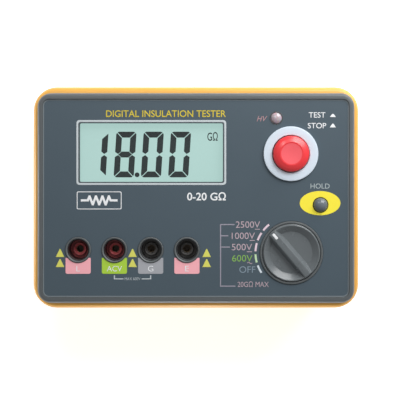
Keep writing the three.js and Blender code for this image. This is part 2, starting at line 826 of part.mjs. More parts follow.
function buildSelector() {
  const selector = new THREE.Group();
  selector.position.set(SELECTOR.x, SELECTOR.y, 0);
  selector.rotation.z = SELECTOR_ANGLE;
  tester.add(selector);
  piece("selector_knob", selectorKnob(), MATERIALS.knobGrey, selector);
  const pointer = lean(block(4.1, 1.6, GRIP_TOP - 0.6, GRIP_TOP + 0.05, POINTER));
  piece("selector_pointer", pointer, MATERIALS.white, selector);
  const rotor = cut(cylinder(13, 59.8, 62.5, {}), cylinder(4.5, 59, 63, {}, 6));
  piece("selector_rotor", rotor, MATERIALS.black, selector);
  const bumps = [0, 120, 240].map((degrees) => {
    const angle = (degrees * Math.PI) / 180;
    return cylinder(1, 58.2, 59.3, { x: 9 * Math.cos(angle), y: 9 * Math.sin(angle) }, 8);
  });
  const wiper = join(ring(7, 11, 59.2, 59.6), ...bumps);
  piece("selector_wiper", wiper, MATERIALS.copper, selector);
}

buildCase();
buildBattery();
buildDisplay();
buildBoards();
buildSockets();
buildLamp();
buildTestButton();
buildHoldButton();
buildSelector();

export default tester;
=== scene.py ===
"""The looks of an insulation resistance tester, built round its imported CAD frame.

The tester lies on its back: +Z points out of its face, +Y to the face's top edge. Sizes are in
millimetres until a piece is made, and places come from the frame's own nodes.
"""

import json
from math import asin, atan2, cos, hypot, pi, radians, sin, tan

import bmesh
import bpy
from mathutils import Matrix, Vector


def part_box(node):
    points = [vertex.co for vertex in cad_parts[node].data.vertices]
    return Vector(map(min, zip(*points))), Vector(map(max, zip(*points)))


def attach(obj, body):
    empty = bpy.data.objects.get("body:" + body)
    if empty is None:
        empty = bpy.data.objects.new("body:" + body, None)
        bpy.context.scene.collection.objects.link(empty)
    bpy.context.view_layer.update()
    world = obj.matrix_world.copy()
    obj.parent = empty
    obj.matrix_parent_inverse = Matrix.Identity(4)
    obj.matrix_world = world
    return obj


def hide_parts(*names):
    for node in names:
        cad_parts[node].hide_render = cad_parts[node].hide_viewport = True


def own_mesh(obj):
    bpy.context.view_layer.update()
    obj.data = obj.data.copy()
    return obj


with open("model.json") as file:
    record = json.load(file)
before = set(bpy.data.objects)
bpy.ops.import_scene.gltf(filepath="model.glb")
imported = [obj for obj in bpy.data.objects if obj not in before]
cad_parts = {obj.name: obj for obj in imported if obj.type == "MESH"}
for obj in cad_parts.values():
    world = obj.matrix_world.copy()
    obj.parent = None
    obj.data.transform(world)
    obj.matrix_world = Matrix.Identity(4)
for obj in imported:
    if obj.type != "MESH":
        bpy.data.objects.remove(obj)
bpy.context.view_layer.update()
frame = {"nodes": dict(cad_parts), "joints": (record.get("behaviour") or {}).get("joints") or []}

MM = 0.001
FULL_TURN = 2 * pi


# ---- places taken from the frame ----


def span(node):
    """Lowest and highest corner of a CAD node, in millimetres."""
    low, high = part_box(node)
    return [v / MM for v in low], [v / MM for v in high]


def middle(node):
    low, high = span(node)
    return (low[0] + high[0]) / 2, (low[1] + high[1]) / 2


def bottom_of(node):
    return span(node)[0][2]


def top_of(node):
    return span(node)[1][2]


def size_of(node):
    low, high = span(node)
    return [b - a for a, b in zip(low, high)]


def joint(name):
    return next(j for j in frame["joints"] if j["name"] == name)


def joint_centre(name):
    x, y, _ = joint(name)["pos_m"]
    return x / MM, y / MM


ROLES = ["line", "voltage", "guard", "earth"]  # the sockets from left to right
SOCKETS = [middle(f"socket_contact_{role}") for role in ROLES]
TEST = middle("test_button_ring")
HOLD = middle("hold_button_cap")
LAMP = middle("voltage_lamp")
DISPLAY = middle("display_window")
SELECTOR = joint_centre("selector_turn")
FACE = top_of("face_panel")
LIP = top_of("front_case")
PARTING = top_of("rear_case")
SHELL_FLOOR = bottom_of("rear_case")
POINTER = middle("selector_pointer")
POINTER_ANGLE = atan2(POINTER[1] - SELECTOR[1], POINTER[0] - SELECTOR[0])
SELECTOR_STEP = radians(18)

PRINT = 0.05  # how far printed ink stands above the film
WINDOW = (88.6, 36.3, 1.0)  # length, width and corner radius of the display opening
COLLAR_RADIUS = 7.95  # outside of the ring round each socket
WELL_RADIUS = 6.7  # inside of that ring
KNOB_WELL_RADIUS = 18.05


# ---- flat outlines and bodies ----


def rounded(length, width, corner, centre=(0, 0), steps=8):
    """Anticlockwise outline of a rectangle with rounded corners."""
    points = []
    for quarter in range(4):
        side_x = 1 if quarter in (0, 3) else -1
        side_y = 1 if quarter < 2 else -1
        for step in range(steps + 1):
            angle = (quarter + step / steps) * pi / 2
            points.append((
                centre[0] + side_x * (length / 2 - corner) + corner * cos(angle),
                centre[1] + side_y * (width / 2 - corner) + corner * sin(angle),
            ))
    return points


def circle(radius, centre=(0, 0), steps=64):
    return arc(radius, 0, FULL_TURN * (steps - 1) / steps, centre, steps - 1)


def arc(radius, start, end, centre=(0, 0), steps=16):
    angles = [start + (end - start) * i / steps for i in range(steps + 1)]
    return [(centre[0] + radius * cos(a), centre[1] + radius * sin(a)) for a in angles]


def softened(profile):
    """A [radius, z] profile whose points may carry a third number, the radius that rounds them off."""
    points = []
    for i, point in enumerate(profile):
        if len(point) == 2:
            points.append(Vector(point))
            continue
        here = Vector(point[:2])
        before = Vector(profile[i - 1][:2])
        after = Vector(profile[(i + 1) % len(profile)][:2])
        to_before = (before - here).normalized()
        to_after = (after - here).normalized()
        half = to_before.angle(to_after) / 2
        reach = point[2] / tan(half)
        start, end = here + to_before * reach, here + to_after * reach
        for t in (0, 0.25, 0.5, 0.75, 1):
            points.append((1 - t) ** 2 * start + 2 * t * (1 - t) * here + t * t * end)
    return points


def lathe(profile, centre=(0, 0), segments=72):
    """A closed body turned about Z. Points at radius 0 become poles; else the profile closes on itself."""
    bm = bmesh.new()
    rings = []
    for radius, z in softened(profile):
        if radius < 1e-6:
            rings.append([bm.verts.new((centre[0], centre[1], z))])
            continue
        rings.append([bm.verts.new((x, y, z)) for x, y in circle(radius, centre, segments)])
    pairs = list(zip(rings, rings[1:]))
    if len(rings[0]) > 1:
        pairs.append((rings[-1], rings[0]))
    for lower, upper in pairs:
        skin(bm, lower, upper, segments)
    bmesh.ops.remove_doubles(bm, verts=bm.verts, dist=1e-5)
    return bm


def skin(bm, lower, upper, count):
    """Faces between two rings, either of which may be a single pole."""
    for i in range(count):
        j = (i + 1) % count
        corners = [lower[i % len(lower)], lower[j % len(lower)]]
        corners += [upper[j % len(upper)], upper[i % len(upper)]]
        corners = list(dict.fromkeys(corners))
        if len(corners) > 2:
            bm.faces.new(corners)


def loft(levels, closed=False):
    """A body through outlines at heights, each (outline, z). closed joins the last level to the first."""
    bm = bmesh.new()
    rings = [[bm.verts.new((x, y, z)) for x, y in outline] for outline, z in levels]
    for lower, upper in zip(rings, rings[1:]):
        skin(bm, lower, upper, len(lower))
    if closed:
        skin(bm, rings[-1], rings[0], len(rings[0]))
    else:
        bm.faces.new(rings[0])
        bm.faces.new(rings[-1])
    return bm


def prism(outline, low, high):
    return loft([(outline, low), (outline, high)])


def slab(length, width, corner, low, high, centre=(0, 0), edge=0.4):
    """A rounded rectangular slab whose upper and lower edges are rounded by edge."""
    levels = []
    steps = 4
    for side, z in ((-1, low), (1, high)):
        for step in range(steps + 1)[::side]:
            angle = step / steps * pi / 2
            loss = edge * (1 - cos(angle))
            height = z - side * edge * (1 - sin(angle))
            outline = rounded(length - 2 * loss, width - 2 * loss, max(corner - loss, 0.05), centre)
            levels.append((outline, height))
    return loft(levels)


def slab_like(node, corner, edge):
    """A slab as large as a CAD node."""
    low, high = span(node)
    length, width, _ = size_of(node)
    return slab(length, width, corner, low[2], high[2], middle(node), edge)


def dome(radius, shoulder, top, steps):
    """The upper part of a lathe profile: a quarter of an ellipse from the shoulder's rim to the axis."""
    angles = [step / steps * pi / 2 for step in range(steps)]
    curve = [(radius * cos(a), shoulder + (top - shoulder) * sin(a)) for a in angles]
    return curve + [(0, top)]


def flat(outlines, low, high):
    """Flat plates filled as a 2-D curve. An outline inside another one makes a hole in it."""
    curve = bpy.data.curves.new("outline", "CURVE")
    curve.dimensions = "2D"
    curve.fill_mode = "BOTH"
    curve.extrude = (high - low) / 2
    for outline in outlines:
        spline = curve.splines.new("POLY")
        spline.points.add(len(outline) - 1)
        spline.use_cyclic_u = True
        for point, (x, y) in zip(spline.points, outline):
            point.co = (x, y, 0, 1)
    return shifted(from_curve(curve), (0, 0, (low + high) / 2))


def from_curve(curve):
    holder = bpy.data.objects.new("outline", curve)
    bpy.context.collection.objects.link(holder)
    ready = holder.evaluated_get(bpy.context.evaluated_depsgraph_get())
    mesh = bpy.data.meshes.new_from_object(ready)
    bm = bmesh.new()
    bm.from_mesh(mesh)
    bmesh.ops.remove_doubles(bm, verts=bm.verts, dist=1e-4)
    bpy.data.objects.remove(holder)
    bpy.data.curves.remove(curve)
    bpy.data.meshes.remove(mesh)
    return bm


def shifted(bm, by):
    bmesh.ops.translate(bm, verts=bm.verts, vec=by)
    return bm


def turned(bm, angle, axis="Z"):
    bmesh.ops.rotate(bm, verts=bm.verts, matrix=Matrix.Rotation(angle, 3, axis))
    return bm


# ---- pieces ----


def as_object(name, bm):
    bmesh.ops.recalc_face_normals(bm, faces=bm.faces)
    mesh = bpy.data.meshes.new(name)
    bm.to_mesh(mesh)
    bm.free()
    made = bpy.data.objects.new(name, mesh)
    bpy.context.collection.objects.link(made)
    return made


def combine(bm, others, operation):
    """bm with each of others cut out of it or joined to it."""
    body = as_object("body", bm)
    for other in others:
        tool = as_object("tool", other)
        boolean = body.modifiers.new("combine", "BOOLEAN")
        boolean.operation = operation
        boolean.solver = "EXACT"
        boolean.object = tool
        ready = body.evaluated_get(bpy.context.evaluated_depsgraph_get())
        mesh = bpy.data.meshes.new_from_object(ready)
        body.modifiers.clear()
        body.data = mesh
        bpy.data.objects.remove(tool)
    result = bmesh.new()
    result.from_mesh(body.data)
    bpy.data.objects.remove(body)
    return result


def cut(bm, *tools):
    return combine(bm, tools, "DIFFERENCE")


def joined(bm, *others):
    return combine(bm, others, "UNION")


def piece(name, bm, material, replaces=None, body="case", sharp=35):
    """Puts a finished body in the scene, in metres, riding on a CAD body in place of a CAD node."""
    made = as_object(name, bm)
    mesh = made.data
    mesh.transform(Matrix.Scale(MM, 4))
    mesh.shade_smooth()
    mesh.set_sharp_from_angle(angle=radians(sharp))
    mesh.materials.append(M[material])
    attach(made, body)
    if replaces:
        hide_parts(replaces)
    return made


# ---- materials ----

M = {}  # every material by its name


def linear(red, green, blue):
    """Display colour numbers from 0 to 255 as a linear colour."""
    def one(value):
        value /= 255
        return value / 12.92 if value <= 0.04045 else ((value + 0.055) / 1.055) ** 2.4
    return one(red), one(green), one(blue), 1


def node(tree, kind, inputs=(), **settings):
    """A shader node whose inputs are set to values or linked to the outputs of other nodes."""
    made = tree.nodes.new("ShaderNode" + kind)
    for key, value in settings.items():
        setattr(made, key, value)
    for key, value in dict(inputs).items():
        if isinstance(value, bpy.types.NodeSocket):
            tree.links.new(value, made.inputs[key])
        else:
            made.inputs[key].default_value = value
    return made


def noise(tree, where, size, detail=3, stretch=(1, 1, 1)):
    """Noise whose grains are about size millimetres across."""
    place = node(tree, "Mapping", {"Vector": where, "Scale": stretch}).outputs[0]
    inputs = {"Vector": place, "Scale": 1 / (size * MM), "Detail": detail}
    return node(tree, "TexNoise", inputs).outputs["Fac"]


def spread(tree, value, low, high):
    """A 0 to 1 value spread between low and high."""
    return node(tree, "MapRange", {"Value": value, "To Min": low, "To Max": high}).outputs[0]


def times(tree, one, other):
    return node(tree, "Math", {0: one, 1: other}, operation="MULTIPLY").outputs[0]


def tinted(tree, colour, factor, strength):
    """colour going from darker to lighter, each by strength, as factor goes from 0 to 1."""
    shade = spread(tree, factor, 1 - strength, 1 + strength)
    base = colour if isinstance(colour, bpy.types.NodeSocket) else colour[:3]
    return node(tree, "VectorMath", {0: base, 1: shade}, operation="MULTIPLY").outputs[0]


def mixed(tree, factor, one, other):
    """Colour one turning into the other as factor goes from 0 to 1."""
    return node(tree, "Mix", {0: factor, 6: one, 7: other}, data_type="RGBA").outputs[2]


def relief(tree, height, strength, depth, inputs=()):
    """The normal of a surface that rises and falls by depth millimetres."""
    values = {"Height": height, "Strength": strength, "Distance": depth * MM, **dict(inputs)}
    return node(tree, "Bump", values).outputs[0]


def blank(name):
    """Starts material name: its empty node tree and the place of each point in its object's frame."""
    M[name] = bpy.data.materials.new(name)
    M[name].use_nodes = True
    tree = M[name].node_tree
    tree.nodes.clear()
    return tree, node(tree, "TexCoord").outputs["Object"]


def finish_surface(tree, inputs):
    shader = node(tree, "BsdfPrincipled", inputs)
    node(tree, "OutputMaterial", {"Surface": shader.outputs[0]})


def edge_mask(tree, width):
    """1 near convex and concave edges, 0 on open faces, and the rounded normal it comes from."""
    rounded_normal = node(tree, "Bevel", {"Radius": width * MM}, samples=4).outputs[0]
    flat_normal = node(tree, "NewGeometry").outputs["Normal"]
    both = node(tree, "VectorMath", {0: rounded_normal, 1: flat_normal}, operation="DOT_PRODUCT")
    inputs = {"Value": both.outputs["Value"], "From Min": 1, "From Max": 0.85}
    return node(tree, "MapRange", inputs).outputs[0], rounded_normal


def moulded(name, colour, roughness=0.5, grain=0.5, bump=0.25, mottle=0.05, wear=0.12, coat=0.0, extra=()):
    """Moulded plastic or rubber: fine grain, slight cloudiness, handling marks and paler edges."""
    tree, where = blank(name)
    colour = linear(*colour)
    cloudy = tinted(tree, colour, noise(tree, where, 22, 4), mottle)
    speckled = tinted(tree, cloudy, noise(tree, where, 0.6, 2), mottle * 0.8)
    edges, rounded_normal = edge_mask(tree, 0.35)
    worn = times(tree, times(tree, edges, noise(tree, where, 3, 4)), wear)
    pale = tuple(min(1, c * 1.3 + 0.12) for c in colour[:3]) + (1,)
    smudges = noise(tree, where, 14, 5, (1, 1, 0.4))
    finish_surface(tree, {
        "Base Color": mixed(tree, worn, speckled, pale),
        "Roughness": spread(tree, smudges, roughness - 0.08, roughness + 0.08),
        "Normal": relief(tree, noise(tree, where, grain, 3), bump, 0.05, {"Normal": rounded_normal}),
        "Coat Weight": coat,
        "Coat Roughness": 0.15,
        **dict(extra),
    })


def metal(name, colour, roughness=0.3, stretch=(1, 1, 8)):
    """Metal with a drawn or turned grain and slight tarnish."""
    tree, where = blank(name)
    stains = noise(tree, where, 5, 4)
    finish_surface(tree, {
        "Base Color": tinted(tree, linear(*colour), stains, 0.12),
        "Metallic": 1.0,
        "Roughness": spread(tree, stains, roughness - 0.08, roughness + 0.12),
        "Normal": relief(tree, noise(tree, where, 0.8, 4, stretch), 0.12, 0.03),
    })


def ink(name, colour, roughness=0.45):
    """Screen-printed ink: even, with a slightly uneven gloss and a faint grain from the film."""
    moulded(name, colour, roughness, grain=0.25, bump=0.12, mottle=0.03, wear=0.0)


def clear_window(name):
    """A clear hard-coated window: it lets light straight through and reflects a little."""
    tree, where = blank(name)
    smear = noise(tree, where, 9, 5, (1, 0.5, 1))
    through = node(tree, "BsdfTransparent", {"Color": (0.97, 0.985, 0.98, 1)}).outputs[0]
    gloss = node(tree, "BsdfGlossy", {"Roughness": spread(tree, smear, 0.02, 0.14)}).outputs[0]
    facing = node(tree, "Fresnel", {"IOR": 1.3}).outputs[0]
    leaving = node(tree, "NewGeometry").outputs["Backfacing"]
    amount = node(tree, "Math", {0: facing, 1: leaving}, operation="SUBTRACT", use_clamp=True).outputs[0]
    both = node(tree, "MixShader", {0: amount, 1: through, 2: gloss})
    node(tree, "OutputMaterial", {"Surface": both.outputs[0]})


def circuit_board(name):
    """Green solder resist over a grid of tracks that show as slightly paler lines."""
    tree, where = blank(name)
    place = node(tree, "Mapping", {"Vector": where, "Scale": (200, 200, 200)}).outputs[0]
    tracks = node(tree, "TexBrick", {
        "Vector": place, "Color1": linear(38, 104, 64), "Color2": linear(33, 92, 56),
        "Mortar": linear(62, 134, 86), "Scale": 1.0, "Mortar Size": 0.03,
    })
    finish_surface(tree, {
        "Base Color": tracks.outputs[0],
        "Roughness": 0.35,
        "Normal": relief(tree, noise(tree, where, 1, 2), 0.2, 0.05),
    })


INKS = {
    "ink_line": (204, 212, 216),
    # a pale line round the film's edge: a painted highlight where the edge catches light
    "painted_edge_highlight": (128, 137, 142),
    "ink_frame": (78, 88, 94),
    "ink_yellow": (255, 238, 66),
    "ink_title": (222, 200, 60),
    "ink_pink": (255, 181, 190),
    "ink_green": (176, 215, 68),
    "ink_tab_grey": (170, 172, 178),
    "ink_triangle": (224, 222, 104),
    "ink_range": (200, 178, 188),
    "ink_bracket": (160, 156, 170),
    "ink_range_ac": (140, 190, 90),
    "ink_tick": (238, 214, 226),
    "ink_tick_ac": (202, 232, 188),
    "ink_tick_off": (222, 232, 240),
    "ink_off": (140, 158, 172),
    "ink_hold": (190, 202, 204),
    "ink_hv": (180, 142, 148),
}


def build_materials():
    lamp_depth = {"Subsurface Weight": 0.25, "Subsurface Scale": 0.004}
    # The display glass glows with its own colour: painted light that keeps it evenly bright inside its
    # recessed window.
    lcd_painted_glow = {"Emission Color": linear(178, 210, 205), "Emission Strength": 0.93}
    moulded("case_orange", (238, 176, 78), 0.42, grain=0.8, bump=0.1, wear=0.05)
    moulded("case_grey", (92, 97, 99), 0.48, grain=0.6, bump=0.3, wear=0.2)
    moulded("panel_slate", (73, 88, 98), 0.5, grain=0.35, mottle=0.03)
    moulded("black_plastic", (34, 36, 38), 0.42)
    # The sockets' inner tubes: painted lighter than their plastic, as light reaching deep into each well;
    # the black ones are painted grey.
    moulded("socket_black", (112, 110, 108), 0.35)
    moulded("socket_red", (206, 96, 100), 0.33)
    # The well linings: the red one is the sleeve's red painted dark as the shade in its well, the black one
    # is painted lighter than black plastic as light.
    moulded("liner_red", (44, 29, 30), 0.45)
    moulded("liner_black", (58, 59, 61), 0.45)
    moulded("ring_pale", (216, 229, 241), 0.4, grain=0.4, bump=0.15, mottle=0.02)
    moulded("button_red", (240, 60, 66), 0.33, grain=0.4, bump=0.1, mottle=0.03, coat=0.2)
    # The cap's red painted paler for its dish floor, as a painted highlight.
    moulded("button_face_painted_highlight", (246, 96, 104), grain=0.4, bump=0.15, mottle=0.03)
    moulded("knob_grey", (105, 111, 114), 0.26, grain=0.45, bump=0.3, wear=0.35)
    moulded("hold_grey", (106, 113, 120), 0.22, grain=0.3, bump=0.05, wear=0.0)
    ink("mark_white", (246, 248, 250), 0.35)
    moulded("lamp_lens", (190, 172, 180), 0.2, 1.2, 0.05, wear=0.0, coat=0.6, extra=lamp_depth)
    moulded("foot_rubber", (36, 36, 38), 0.8, grain=0.3, bump=0.6, mottle=0.12)
    moulded("elastomer", (120, 122, 124), 0.7)
    # Display glass with painted light: its glow fills in the shade of its recess.
    moulded("lcd_glass", (72, 84, 82), 0.55, 0.2, 0.05, mottle=0.02, wear=0.0, extra=lcd_painted_glow)
    ink("lcd_segment", (44, 51, 53), 0.5)
    clear_window("window_clear")
    circuit_board("circuit_board")
    moulded("cell_jacket", (40, 92, 156), 0.3, grain=1.5, bump=0.05, coat=0.4)
    moulded("wire_red", (178, 34, 34), 0.4)
    moulded("wire_black", (28, 28, 30), 0.4)
    moulded("capacitor_film", (52, 96, 160), 0.35)
    moulded("ferrite", (62, 62, 64), 0.75, grain=0.3, bump=0.5)
    metal("copper", (206, 132, 84), 0.35)
    metal("brass", (118, 102, 78), 0.45)
    moulded("tarnish", (150, 136, 124), 0.6, wear=0.0)
    metal("steel", (188, 192, 196))
    metal("nickel", (206, 210, 214), 0.22, (8, 1, 1))
    for name, colour in INKS.items():
        ink(name, colour)


# ---- printing on the face ----


def print_on_film(name, outlines, material):
    return piece(name, flat(outlines, FACE, FACE + PRINT), material)


def lettering(name, words, box, material, weight=0.0, slant=0.0, height=FACE):
    """Printed words that fill box, which is (left, bottom, right, top)."""
    curve = bpy.data.curves.new(name, "FONT")
    curve.body = words
    curve.size = 10
    curve.offset = weight
    curve.shear = slant
    curve.extrude = 0.5
    curve.resolution_u = 5
    bm = from_curve(curve)
    xs = sorted(v.co.x for v in bm.verts)
    ys = sorted(v.co.y for v in bm.verts)
    for vert in bm.verts:
        across = (vert.co.x - xs[0]) / (xs[-1] - xs[0])
        up = (vert.co.y - ys[0]) / (ys[-1] - ys[0])
        vert.co = (
            box[0] + across * (box[2] - box[0]),
            box[1] + up * (box[3] - box[1]),
            height + (PRINT if vert.co.z > 0 else 0),
        )
    return piece(name, bm, material, sharp=20)


def beside(centre, left, bottom, right, top):
    """A box given by its distances from a centre."""
    return centre[0] + left, centre[1] + bottom, centre[0] + right, centre[1] + top


def moved(outline, centre):
    return [(x + centre[0], y + centre[1]) for x, y in outline]


# ---- case ----

WIDEST = PARTING - 5  # where the rear shell is widest
FOOT_Z = SHELL_FLOOR + 9  # where its sides turn in under it
DRAFT = 3  # how far its sides flare out between the two
SHELL_TOP = SHELL_FLOOR + 3  # upper side of its floor
FRONT_BASE = PARTING + 0.05
LEDGE = LIP - 1.1  # the front shell's deck, which the film lies on
DECK_LOW = LIP - 3.2


def edge_levels(length, width, corner, z, inset, height, loss, steps=6):
    """Levels of a rounded edge that starts at z and draws in by inset over height."""
    levels = []
    for step in range(1, steps + 1):
        angle = step / steps * pi / 2
        share = 1 - cos(angle)
        outline = rounded(length - 2 * inset * share, width - 2 * inset * share, corner - loss * share)
        levels.append((outline, z + height * sin(angle)))
    return levels


def rear_outside(length, width):
    """Rounded underneath, flared up to the widest line, then drawn in to the parting line."""
    foot = (length - 2 * DRAFT, width - 2 * DRAFT, 14)
    under = edge_levels(*foot, FOOT_Z, 7, SHELL_FLOOR - FOOT_Z, 5)
    sides = [(rounded(*foot), FOOT_Z), (rounded(length, width, 15), WIDEST)]
    return loft(under[::-1] + sides + edge_levels(length, width, 15, WIDEST, 3.4, PARTING - WIDEST, 4))


def rear_cavity(length, width):
    levels = [(24, 8, SHELL_TOP), (12.6, 11, 13), (7, 12, 50), (10, 10, WIDEST), (10, 9, PARTING + 1)]
    return loft([(rounded(length - walls, width - walls, corner), z) for walls, corner, z in levels])


def battery_bay():
    """The room that the cells lie in and the shallow rebate that its cover closes."""
    length, width, _ = size_of("battery_cover")
    gap = 0.6
    rebate = rounded(length + gap, width + gap, 3.2)
    return [
        slab(115, 47.6, 0.6, SHELL_FLOOR - 1, 20, edge=0.3),
        prism(rebate, SHELL_FLOOR - 1, top_of("battery_cover") + 0.1),
    ]


def underside_holes():
    """Pockets for the feet and holes for the case screws and the cover screws."""
    low = SHELL_FLOOR - 1
    pocket = [(0, low), (6.6, low), (6.6, SHELL_FLOOR + 0.8), (0, SHELL_FLOOR + 0.8)]
    hole = [(0, low), (4.6, low), (3.6, SHELL_FLOOR + 0.6), (3.6, 20), (0, 20)]
    bore = [(0, SHELL_FLOOR), (1.35, SHELL_FLOOR), (1.35, 16), (0, 16)]
    tools = []
    for i in range(1, 5):
        tools.append(lathe(pocket, middle(f"foot_{i}"), 48))
        tools.append(lathe(hole, middle(f"case_screw_{i}"), 40))
    return tools + [lathe(bore, middle(f"cover_screw_{i}"), 24) for i in (1, 2)]


def inner_posts():
    """Tubes that the case screws pass through, and stepped posts that carry the converter board."""
    tube_low, tube_high = SHELL_TOP - 1, 49
    wall = [(3.6, tube_low), (5.4, tube_low), (5.4, tube_high), (3.6, tube_high)]
    posts = [lathe(wall, middle(f"case_screw_{i}"), 40) for i in range(1, 5)]
    seat, tip = bottom_of("converter_board") - 0.05, top_of("converter_board") + 1
    step = [(0, 21), (2.6, 21), (2.6, seat), (1.3, seat), (1.3, tip, 0.3), (0, tip)]
    return posts + [lathe(step, place, 24) for place in ((45, 20), (-45, 20), (-45, -20), (45, -20))]


def grip_ribs(length):
    """Shallow upright ribs moulded into the two short sides, for a firm hold."""
    pitch, low, high = 6.5, 22, 44
    flare = DRAFT / (WIDEST - FOOT_Z)
    ribs = []
    for side in (-1, 1):
        for k in range(-4, 5):
            rib = slab(2.8, 3.2, 1.3, low, high, (0, k * pitch), edge=1.1)
            for vert in rib.verts:
                vert.co.x += side * (length / 2 - DRAFT + flare * (vert.co.z - FOOT_Z) - 0.5)
            ribs.append(rib)
    return ribs


def build_rear_shell():
    length, width, _ = size_of("rear_case")
    bay_walls = slab(137, 52.6, 1, SHELL_TOP - 1, 22.2)
    shell = joined(cut(rear_outside(length, width), rear_cavity(length, width)), bay_walls)
    shell = cut(shell, *battery_bay(), *underside_holes())
    shell = joined(shell, *inner_posts(), *grip_ribs(length))
    piece("rear_shell", shell, "case_orange", "rear_case")


def face_holes(test, hold, lamp, painted_light_tube, selector, steps=64):
    """The display's opening and round ones of these radii for the controls and sockets."""
    holes = [rounded(*WINDOW, DISPLAY), circle(test, TEST), circle(hold, HOLD, 40), circle(lamp, LAMP, 40)]
    holes.append(circle(selector, SELECTOR, steps))
    return holes + [circle(painted_light_tube, place) for place in SOCKETS]


def front_rim(length, width):
    """The raised frame round the film, down to the parting line inside and out."""
    edge_z = LIP - 3.6
    crown = (length - 0.6, width - 0.6, 8.4)
    levels = [(rounded(length, width, 9), FRONT_BASE), (rounded(*crown), edge_z)]
    levels += edge_levels(*crown, edge_z, 2.2, LIP - edge_z, 2.4, 8)
    recess = rounded(189.4, 122.4, 4)
    opening = rounded(184, 117, 3)
    inside = rounded(193, 126.5, 7)
    levels += [(recess, LIP - 0.05), (recess, LEDGE), (opening, LEDGE), (opening, DECK_LOW)]
    levels += [(inside, DECK_LOW), (inside, FRONT_BASE)]
    return loft(levels, closed=True)


def front_skirt():
    """The tongue that drops inside the rear shell."""
    outer, inner = rounded(195.2, 129.2, 8.6), rounded(193.4, 126.9, 7.4)
    low, high = 58, FRONT_BASE + 1
    return loft([(outer, low), (outer, high), (inner, high), (inner, low)], closed=True)


def boss(screw, bore, radius, low):
    """A hollow post that hangs from the front shell's deck and takes a screw."""
    high = LIP - 3
    return lathe([(bore, low), (radius, low), (radius, high), (bore, high)], middle(screw), 32)


def build_front_shell():
    length, width, _ = size_of("front_case")
    slack = 0.4
    holes = face_holes(13.9, 4.9, 3.8, WELL_RADIUS + 0.5, KNOB_WELL_RADIUS + 0.8)
    deck = flat([rounded(186, 119, 3.4), *holes], DECK_LOW, LEDGE - 0.02)
    bosses = [boss(f"case_screw_{i}", 1.6, 4, 57.6) for i in range(1, 5)]
    bosses += [boss(f"board_screw_{i}", 1.2, 3, top_of("main_board") + 0.1) for i in (1, 2)]
    shell = joined(front_rim(length - slack, width - slack), front_skirt(), deck, *bosses)
    piece("front_shell", shell, "case_grey", "front_case")
    crest = (COLLAR_RADIUS + WELL_RADIUS) / 2
    for role, place in zip(ROLES, SOCKETS):
        collar = lathe([
            (WELL_RADIUS, 67.6), (COLLAR_RADIUS, 67.6), (COLLAR_RADIUS, 72.2, 0.5), (crest, 72.25, 0.3),
            (WELL_RADIUS, 71.8, 0.4),
        ], place)
        piece(f"socket_collar_{role}", collar, "case_grey")
    build_selector_well()


def build_selector_well():
    """The cup that the knob turns in, with a raised ring round its mouth."""
    shaft, wall, ring = 5.2, 19.6, 19.5
    low, floor, seat = 62.8, 64.8, bottom_of("face_panel") - 0.05
    well = lathe([
        (shaft, low), (wall, low), (wall, seat), (ring, seat), (ring, LIP, 0.45),
        (KNOB_WELL_RADIUS, LIP, 0.5), (KNOB_WELL_RADIUS, floor, 0.4), (shaft, floor),
    ], SELECTOR, 96)
    piece("selector_well", well, "case_grey")


def build_film():
    low, high = span("face_panel")
    growth, corner, line = 0.3, 3.9, 0.65
    length, width = high[0] - low[0] + growth, high[1] - low[1] + growth
    holes = face_holes(14, 4.8, 3.75, COLLAR_RADIUS + 0.15, 19.7, 96)
    sheet = flat([rounded(length, width, corner), *holes], low[2], FACE)
    piece("face_film", sheet, "panel_slate", "face_panel")
    # A pale line is printed round the film's edge as a painted highlight, where the edge would catch light.
    border = [
        rounded(length - 2 * inset, width - 2 * inset, corner - inset) for inset in (0.05, 0.05 + line)
    ]
    print_on_film("film_edge_highlight", border, "painted_edge_highlight")


# ---- display ----

SEGMENT = 3.7  # width of a segment's stroke
SEGMENT_GAP = 0.33
DIGIT = (12.6, 28.5)  # width and height
DIGIT_PITCH = 17.0
DIGIT_CORNER = 1.7
SLANT = tan(radians(3.6))


def flipped(outline):
    """Upside down within a digit's height."""
    return [(x, DIGIT[1] - y) for x, y in outline]


def mirrored(outline):
    """Left to right within a digit's width."""
    return [(DIGIT[0] - x, y) for x, y in outline]


def digit_segments():
    """Outlines of the seven segments of a digit, in its own upright frame, by their usual letters."""
    wide, tall = DIGIT
    gap, t = SEGMENT_GAP, SEGMENT
    half = tall / 2
    tip, slope = t * 0.55, t + 0.35
    round_left = (DIGIT_CORNER, tall - DIGIT_CORNER)
    round_right = (wide - DIGIT_CORNER, tall - DIGIT_CORNER)
    eighth = pi / 4
    top = moved(arc(DIGIT_CORNER, 3 * eighth, 2 * eighth, round_left, 4), (gap, 0))
    top += moved(arc(DIGIT_CORNER, 2 * eighth, eighth, round_right, 4), (-gap, 0))
    top += [(wide - t - gap, tall - t), (t + gap, tall - t)]
    right = moved(arc(DIGIT_CORNER, eighth, 0, round_right, 4), (0, -gap))
    right += [(wide, half + t * 0.42), (wide - t * 0.52, half + gap)]
    right += [(wide - t, half + t * 0.5), (wide - t, tall - t - gap)]
    centre = [(tip, half), (slope, half + t / 2), (wide - slope, half + t / 2), (wide - tip, half)]
    centre += [(wide - slope, half - t / 2), (slope, half - t / 2)]
    return {
        "a": top, "b": right, "c": flipped(right), "d": flipped(top),
        "e": mirrored(flipped(right)), "f": mirrored(right), "g": centre,
    }


def digit_one():
    """The half digit at the left of the display: two strokes with slanted ends."""
    half, t = DIGIT[1] / 2, SEGMENT
    upper = [(0, half + t * 0.5), (t * 0.5, half + SEGMENT_GAP), (t, half + t * 0.42)]
    upper += [(t, 2 * half - 1.2), (0, 2 * half - t - 0.9)]
    return [upper, flipped(upper)]


